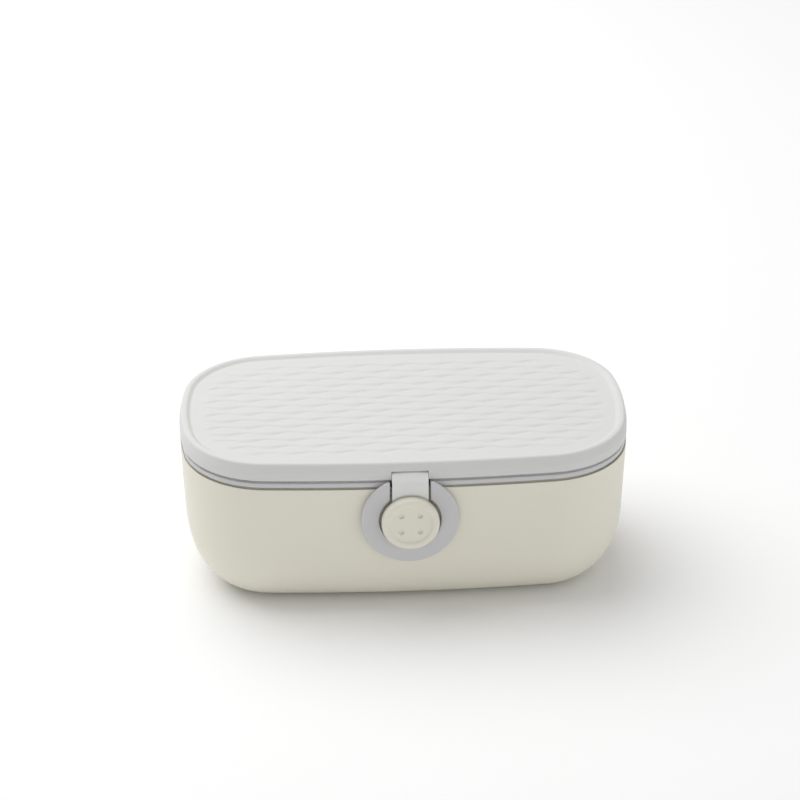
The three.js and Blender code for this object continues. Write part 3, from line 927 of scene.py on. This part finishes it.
def addRelief(piece):
    # the flat panel face gives way to the relief, on the same edge points
    work = bmesh.new()
    work.from_mesh(piece.data)
    level = [f for f in work.faces if abs(f.calc_center_median().z - panelTop * mm) < 1e-6]
    tops = [f for f in level if f.normal.z > 0.99]
    panel = max(tops, key=lambda f: f.calc_area())
    rim = [loop.vert for loop in panel.loops]
    bmesh.ops.delete(work, geom=[panel], context="FACES_ONLY")
    found, heights = reliefFaces([(v.co.x / mm, v.co.y / mm) for v in rim])
    flat, triangles, sources = found[0], found[2], found[3]
    made = []
    for point, source in zip(flat, sources):
        first = min(source) if source else -1
        if 0 <= first < len(rim):
            made.append(rim[first])
        else:
            z = panelTop + (heights[first] if first >= 0 else 0)
            made.append(work.verts.new((point.x * mm, point.y * mm, z * mm)))
    for corners in triangles:
        work.faces.new([made[c] for c in corners])
    work.normal_update()
    work.to_mesh(piece.data)
    work.free()


def makeLid():
    low = lidBottom
    wall = lid["wall"]
    lipLow = band["high"] - lid["lipReach"]
    ceiling = panelTop - lid["plate"]
    shadowInset = band["inset"] + band["shadowDepth"]
    rimInner = lid["draft"] + lid["edgeRound"] + lid["crown"]
    seat = band["high"] + gaps["seat"]
    inner = roundCorners([
        (lid["lipInner"], ceiling),
        (lid["lipInner"], lipLow, lid["lipRound"]),
        (lid["lipOuter"], lipLow, lid["lipRound"]),
        (lid["lipOuter"], ceiling, fine),
        (wall, ceiling, lid["ceilingRound"]),
        (wall, seat, lid["seatRound"]),
        (shadowInset, seat, crisp),
        (shadowInset, low, crisp),
        (0, low, fine),
        (0, lidTop - lid["shoulderDrop"], lid["shoulderRound"]),
        (lid["shoulder"], lidTop, lid["edgeRound"]),
        (rimInner, lidTop, lid["rimRound"]),
        (rimInner + lid["slope"] * lid["slopeShare"], panelTop, lid["slopeRound"]),
        (panelInset + lid["panelEdge"], panelTop),
    ], fine, steps=7, closed=False)
    piece = loft("lidShell", inner)
    pinReach = (claspPinHigh.x - claspPinLow.x) / 2 + lid["pinEndGap"]
    cheekOuter = pinReach + lid["cheekWall"]
    cheeks = block(
        "cheeks",
        (-cheekOuter, frontFace + fine, low),
        (cheekOuter, frontFace + lid["lipOuter"] + fine, ceiling + lid["mouthRise"]),
    )
    join(piece, cheeks)
    cut(piece, bar("seat", claspBore, -pinReach, pinReach, claspAxis.y, claspAxis.z, sides=40))
    half = claspShape["strapWidth"] / 2 + claspShape["notchGap"]
    swing = claspShape["knuckleRadius"] + claspShape["notchTopGap"]
    behind = frontFace + lid["lipInner"] + gaps["slide"]
    before = frontFace - past["far"]
    cut(piece, block("notch", (-half, before, 0), (half, claspAxis.y, claspAxis.z + swing)))
    cut(piece, bar("turningRoom", swing, -half, half, claspAxis.y, claspAxis.z, sides=64))
    cut(piece, block("mouth", (-half, claspAxis.y, 0), (half, behind, low + lid["mouthRise"])))
    rootY = outline["halfDepth"] - wall
    addKnuckles(piece, False, rootY, low + gaps["seat"], hingeAxis.z + hinge["radius"])
    tidyMesh(piece)
    addRelief(piece)
    finishPiece(piece, palePlastic, "lid", "pale_plastic", "lid_shell")


makeLid()


# the clasp: strap, button and pin

def strapSide():
    # side view of the strap; x is the depth behind the face, y runs up
    cx, cy = -pinLocal.z, pinLocal.y
    radius = claspShape["knuckleRadius"]
    face = -claspShape["strapFace"]
    back = -claspShape["plateBack"]
    tail = -claspShape["tail"]
    catchBack = -catch["height"] - gaps["facing"]
    slope = math.sqrt(0.5) * radius
    footY = cy + slope - (cx - slope - face)
    outside = roundCorners([
        (face, tail),
        (face, footY, claspShape["shoulderRound"]),
        (cx - slope, cy + slope),
    ], 0.5, steps=10, closed=False)
    turn = arcPoints(cx, cy, radius, 0.75 * math.pi, -0.5 * math.pi, 36)
    neck, slant, nib = claspShape["tailRise"]
    rest = [
        (back, cy - radius - neck), (back, tail + slant), (catchBack, tail + nib), (catchBack, tail),
    ]
    return outside + turn[1:] + rest


def crownStrap(piece):
    # the top edge falls away gently towards the strap's two sides
    half = claspShape["strapWidth"] / 2
    inverse = claspFrame.inverted()
    low = pinLocal.y + claspShape["crownStart"]
    span = claspShape["knuckleRadius"] - claspShape["crownStart"]
    for vertex in piece.data.vertices:
        local = inverse @ (vertex.co / mm)
        share = smoothStep((local.y - low) / span)
        local.y -= claspShape["crown"] * (local.x / half) ** 2 * share
        vertex.co = (claspFrame @ local) * mm


def makeStrap():
    half = claspShape["strapWidth"] / 2
    # the side view's x points inwards, so the slab is laid across the strap
    across = Matrix(((0, 0, 1, 0), (0, 1, 0, 0), (-1, 0, 0, 0), (0, 0, 0, 1)))
    side = strapSide()[::-1]
    piece = slab("claspStrap", side, -half, half, claspFrame @ across, layers=14)
    pocket = button["radius"] + claspShape["pocketGap"]
    pocketProfile = [(0, 0), (pocket, 0), (pocket, past["far"]), (0, past["far"])]
    place = claspFrame @ Matrix.Translation((0, 0, claspShape["plateFront"]))
    cut(piece, lathe("pocket", pocketProfile, 128, place))
    stem = button["stemRadius"] + gaps["slide"]
    near = past["near"]
    stemProfile = [(0, -near), (stem, -near), (stem, near), (0, near)]
    cut(piece, lathe("stemHole", stemProfile, 48, claspFrame))
    reach = half + past["end"]
    cut(piece, bar("strapBore", claspBore, -reach, reach, claspAxis.y, claspAxis.z, sides=40))
    softenEdges(piece, claspShape["strapEdge"], 4, angle=50)
    tidyMesh(piece)
    crownStrap(piece)
    finishPiece(piece, paintedLightStrapPlastic, "clasp", "pale_plastic", "clasp_strap")


button = {
    "radius": 9.8,
    "front": 5.2,
    "back": 2.2,
    "rimRound": 1.1,
    "rimInner": 7.7,
    "dishRadius": 7.0,
    "dishDepth": 0.65,
    "holeRadius": 0.85,
    "holeSpacing": 6.3,
    "holeDepth": 0.7,
    "stemRadius": 2.3,
    "hubRadius": 6.0,
    "hubFlare": 0.3,
    "backRound": 0.35,
    "slopeRound": 0.6,
    "dishRound": 0.9,
    "dishFall": (0.12, 0.14),  # how much deeper the dish is half way in, and in its middle
    "holeFlare": (0.5, 0.22),  # outwards and upwards
}


def makeButton():
    radius = button["radius"]
    front = button["front"]
    floor = front - button["dishDepth"]
    plate = claspShape["plateFront"] + gaps["seat"]
    stemEnd = claspShape["plateBack"] + gaps["seat"]
    points = [
        (0, stemEnd),
        (button["stemRadius"], stemEnd, 0.2),
        (button["stemRadius"], plate, 0.0),
        (button["hubRadius"], plate, 0.0),
        (button["hubRadius"] + button["hubFlare"], button["back"], 0.0),
        (radius, button["back"], button["backRound"]),
        (radius, front, button["rimRound"]),
        (button["rimInner"], front, button["slopeRound"]),
        (button["dishRadius"], floor, button["dishRound"]),
        (button["dishRadius"] * 0.5, floor - button["dishFall"][0], 1.0),
        (0, floor - button["dishFall"][1]),
    ]
    profile = roundCorners(points, 0.2, steps=7, closed=False)
    piece = lathe("claspButton", profile, 144, claspFrame)
    apart = button["holeSpacing"] / 2
    hole = button["holeRadius"]
    deep = floor - button["holeDepth"]
    flare, rise = button["holeFlare"]
    drillProfile = roundCorners([
        (0, deep),
        (hole, deep, fine),
        (hole, floor - fine),
        (hole + flare, floor + rise),
        (0, floor + rise),
    ], 0.0, steps=4, closed=False)
    for x in (-apart, apart):
        for y in (-apart, apart):
            cut(piece, lathe("drill", drillProfile, 40, claspFrame @ Matrix.Translation((x, y, 0))))
    tidyMesh(piece)
    finishPiece(piece, creamPlastic, "clasp", "cream_plastic", "clasp_button", angle=38)


makeStrap()
makeButton()


pin = {"chamfer": 0.2, "edgeRound": 0.06}


def makePin(name, node, body):
    low, high = boxOf(node)
    radius = (high.z - low.z) / 2
    centre = (low + high) / 2
    piece = bar(name, radius, low.x, high.x, centre.y, centre.z, sides=48, chamfer=pin["chamfer"])
    softenEdges(piece, pin["edgeRound"], 2, angle=25)
    finishPiece(piece, drawnSteel, body, "steel", node)


makePin("hingePinLeft", "hinge_pin_left", "tub")
makePin("hingePinRight", "hinge_pin_right", "tub")
makePin("claspPin", "clasp_pin", "lid")


# the trays

tray = {
    "wall": 1.4,
    "cellRound": 3.0,
    "notchRadius": 9.0,
    "notchDepth": 6.0,
    "floorRound": 1.2,
    "edgeRound": 0.3,
    "density": 0.75,  # coarser outline than the shell's
    "hollowRise": 30,
    "cutTop": 80,
}
upper = {
    "draft": 0.7, "foot": 2.5, "flange": 1.4, "inset": 6.3, "rowSplit": 1.5, "frontSplit": 26.0,
    "backCells": 4, "seatRound": 0.15, "flangeRound": 0.25, "topRound": 0.4, "hollowDraft": 0.2,
}
lower = {"cells": 3, "gap": 0.6, "sideSteps": 18}


def cellCutter(x0, x1, y0, y1, bottom):
    shape = roundCorners(
        [(x0, y0), (x1, y0), (x1, y1), (x0, y1)], tray["cellRound"], steps=8,
    )
    return slab("cell", shape, bottom, tray["cutTop"])


def fingerCutters(top):
    centreZ = top + tray["notchRadius"] - tray["notchDepth"]
    far = outline["halfLength"]
    inner = far - upper["inset"] - tray["wall"] - tub["roundIn"] / 2
    for x0, x1 in ((-far, -inner), (inner, far)):
        yield bar("finger", tray["notchRadius"], x0, x1, 0, centreZ, sides=96)


def cutCells(piece, hollow, cells):
    # each cell is the hollow inside one rounded rectangle
    for x0, x1, y0, y1 in cells:
        cell = hollow.copy()
        cell.data = hollow.data.copy()
        bpy.context.scene.collection.objects.link(cell)
        combine(cell, cellCutter(x0, x1, y0, y1, 0), "INTERSECT")
        softenEdges(cell, tray["floorRound"], 4, angle=50)
        cut(piece, cell)
    bpy.data.objects.remove(hollow)


def evenCells(count, half, y0, y1):
    pitch = (2 * half + tray["wall"]) / count
    return [(-half + i * pitch, -half + (i + 1) * pitch - tray["wall"], y0, y1) for i in range(count)]


def makeUpperTray():
    top = upperHigh.z
    bottom = upperLow.z
    wall = tray["wall"]
    inset = upper["inset"]
    low = inset + upper["draft"]
    seat = top - upper["flange"]
    flangeInset = band["inner"] + gaps["slide"]
    outside = roundCorners([
        (low + upper["foot"], bottom),
        (low, bottom, upper["foot"]),
        (inset, seat, upper["seatRound"]),
        (flangeInset, seat, upper["flangeRound"]),
        (flangeInset, top, upper["topRound"]),
        (inset + wall * 0.5, top),
    ], 0.3, steps=6, closed=False)
    piece = loft("upperTray", outside, density=tray["density"])
    floor = bottom + wall
    inside = [
        (low + wall + upper["hollowDraft"], floor),
        (inset + wall, top),
        (inset + wall, top + tray["hollowRise"]),
    ]
    hollow = loft("upperHollow", inside, density=tray["density"])
    half = outline["halfLength"] - inset - wall
    split = upper["rowSplit"]
    far = outline["halfLength"] * 2
    cells = evenCells(upper["backCells"], half, split + wall / 2, far)
    cells.append((-far, upper["frontSplit"] - wall / 2, -far, split - wall / 2))
    cells.append((upper["frontSplit"] + wall / 2, far, -far, split - wall / 2))
    cut(piece, *fingerCutters(top))
    cutCells(piece, hollow, cells)
    softenEdges(piece, tray["edgeRound"], 3, angle=50)
    tidyMesh(piece)
    finishPiece(piece, trayPlastic, "upper_tray", "tray_plastic", "upper_tray")


def makeLowerTray():
    top = lowerTop
    wall = tray["wall"]
    offset = tub["wall"] + lower["gap"]
    drop = lower["gap"] - gaps["seat"]
    outside = [(inset, z - drop) for inset, z in tubSide(offset, top + drop, lower["sideSteps"])]
    inner = tubSide(offset + wall, top + drop, lower["sideSteps"])
    inside = [(inset, z - drop) for inset, z in inner]
    inside.append((inside[-1][0], top + tray["hollowRise"]))
    piece = loft("lowerTray", outside, density=tray["density"])
    hollow = loft("lowerHollow", inside, density=tray["density"])
    half = outline["halfLength"] - offset - wall - sideInset(top)
    far = outline["halfDepth"] * 2
    cut(piece, *fingerCutters(top))
    cutCells(piece, hollow, evenCells(lower["cells"], half, -far, far))
    softenEdges(piece, tray["edgeRound"], 3, angle=50)
    tidyMesh(piece)
    finishPiece(piece, trayPlastic, "lower_tray", "tray_plastic", "lower_tray")


makeUpperTray()
makeLowerTray()


# floor, light and camera

studio = {
    "floorSize": 6.0,
    "floorTone": (0.96, 0.96, 0.96, 1),
    "floorRoughness": 0.8,
    "worldStrength": 0.5,
    "keyPower": 11.0,
    "keySize": 1.4,
    "keyPlace": (-0.42, 0.36, 1.0),
    "fillPower": 1.9,
    "fillSize": 0.8,
    "fillPlace": (1.0, -0.65, 0.15),
    "lampAim": (0, 0, 0.03),
}
viewpoint = {
    "azimuth": -0.05538,  # radians, as are the next two
    "elevation": 0.49335,
    "roll": -0.0033,
    "distance": 1098.4,
    "aim": (-0.95, 0.0, 61.46),
    "lens": 142.54,
    "sensor": 36,
    "nearest": 0.05,
    "farthest": 20,
}


def makeStudio():
    bpy.ops.mesh.primitive_plane_add(size=studio["floorSize"], location=(0, 0, 0))
    floor = bpy.context.object
    floor.name = "studioFloor"
    material = bpy.data.materials.new("paleFloor")
    material.use_nodes = True
    shader = material.node_tree.nodes["Principled BSDF"]
    shader.inputs["Base Color"].default_value = studio["floorTone"]
    shader.inputs["Roughness"].default_value = studio["floorRoughness"]
    floor.data.materials.append(material)
    world = bpy.data.worlds.new("studioWorld")
    bpy.context.scene.world = world
    world.use_nodes = True
    background = world.node_tree.nodes["Background"]
    background.inputs["Color"].default_value = (1, 1, 1, 1)
    background.inputs["Strength"].default_value = studio["worldStrength"]


def addSoftbox(name, place, power, size):
    light = bpy.data.lights.new(name, "AREA")
    light.shape = "DISK"
    light.energy = power
    light.size = size
    lamp = bpy.data.objects.new(name, light)
    bpy.context.scene.collection.objects.link(lamp)
    lamp.location = place
    aim = Vector(studio["lampAim"]) - Vector(place)
    lamp.rotation_euler = aim.to_track_quat("-Z", "Y").to_euler()


def makeCamera():
    azimuth = viewpoint["azimuth"]
    elevation = viewpoint["elevation"]
    back = Vector((
        math.sin(azimuth) * math.cos(elevation),
        -math.cos(azimuth) * math.cos(elevation),
        math.sin(elevation),
    ))
    right = Vector((math.cos(azimuth), math.sin(azimuth), 0))
    turn = Matrix.Rotation(viewpoint["roll"], 3, back)
    right = turn @ right
    up = back.cross(right)
    camera = bpy.data.objects.new("camera", bpy.data.cameras.new("camera"))
    bpy.context.scene.collection.objects.link(camera)
    place = (Vector(viewpoint["aim"]) + back * viewpoint["distance"]) * mm
    basis = Matrix((right, up, back)).transposed().to_4x4()
    camera.matrix_world = Matrix.Translation(place) @ basis
    camera.data.lens = viewpoint["lens"]
    camera.data.sensor_width = viewpoint["sensor"]
    camera.data.clip_start = viewpoint["nearest"]
    camera.data.clip_end = viewpoint["farthest"]
    bpy.context.scene.camera = camera


makeStudio()
addSoftbox("keyLight", studio["keyPlace"], studio["keyPower"], studio["keySize"])
addSoftbox("fillLight", studio["fillPlace"], studio["fillPower"], studio["fillSize"])
makeCamera()
bpy.context.scene.view_settings.view_transform = "Standard"
print("studio set")
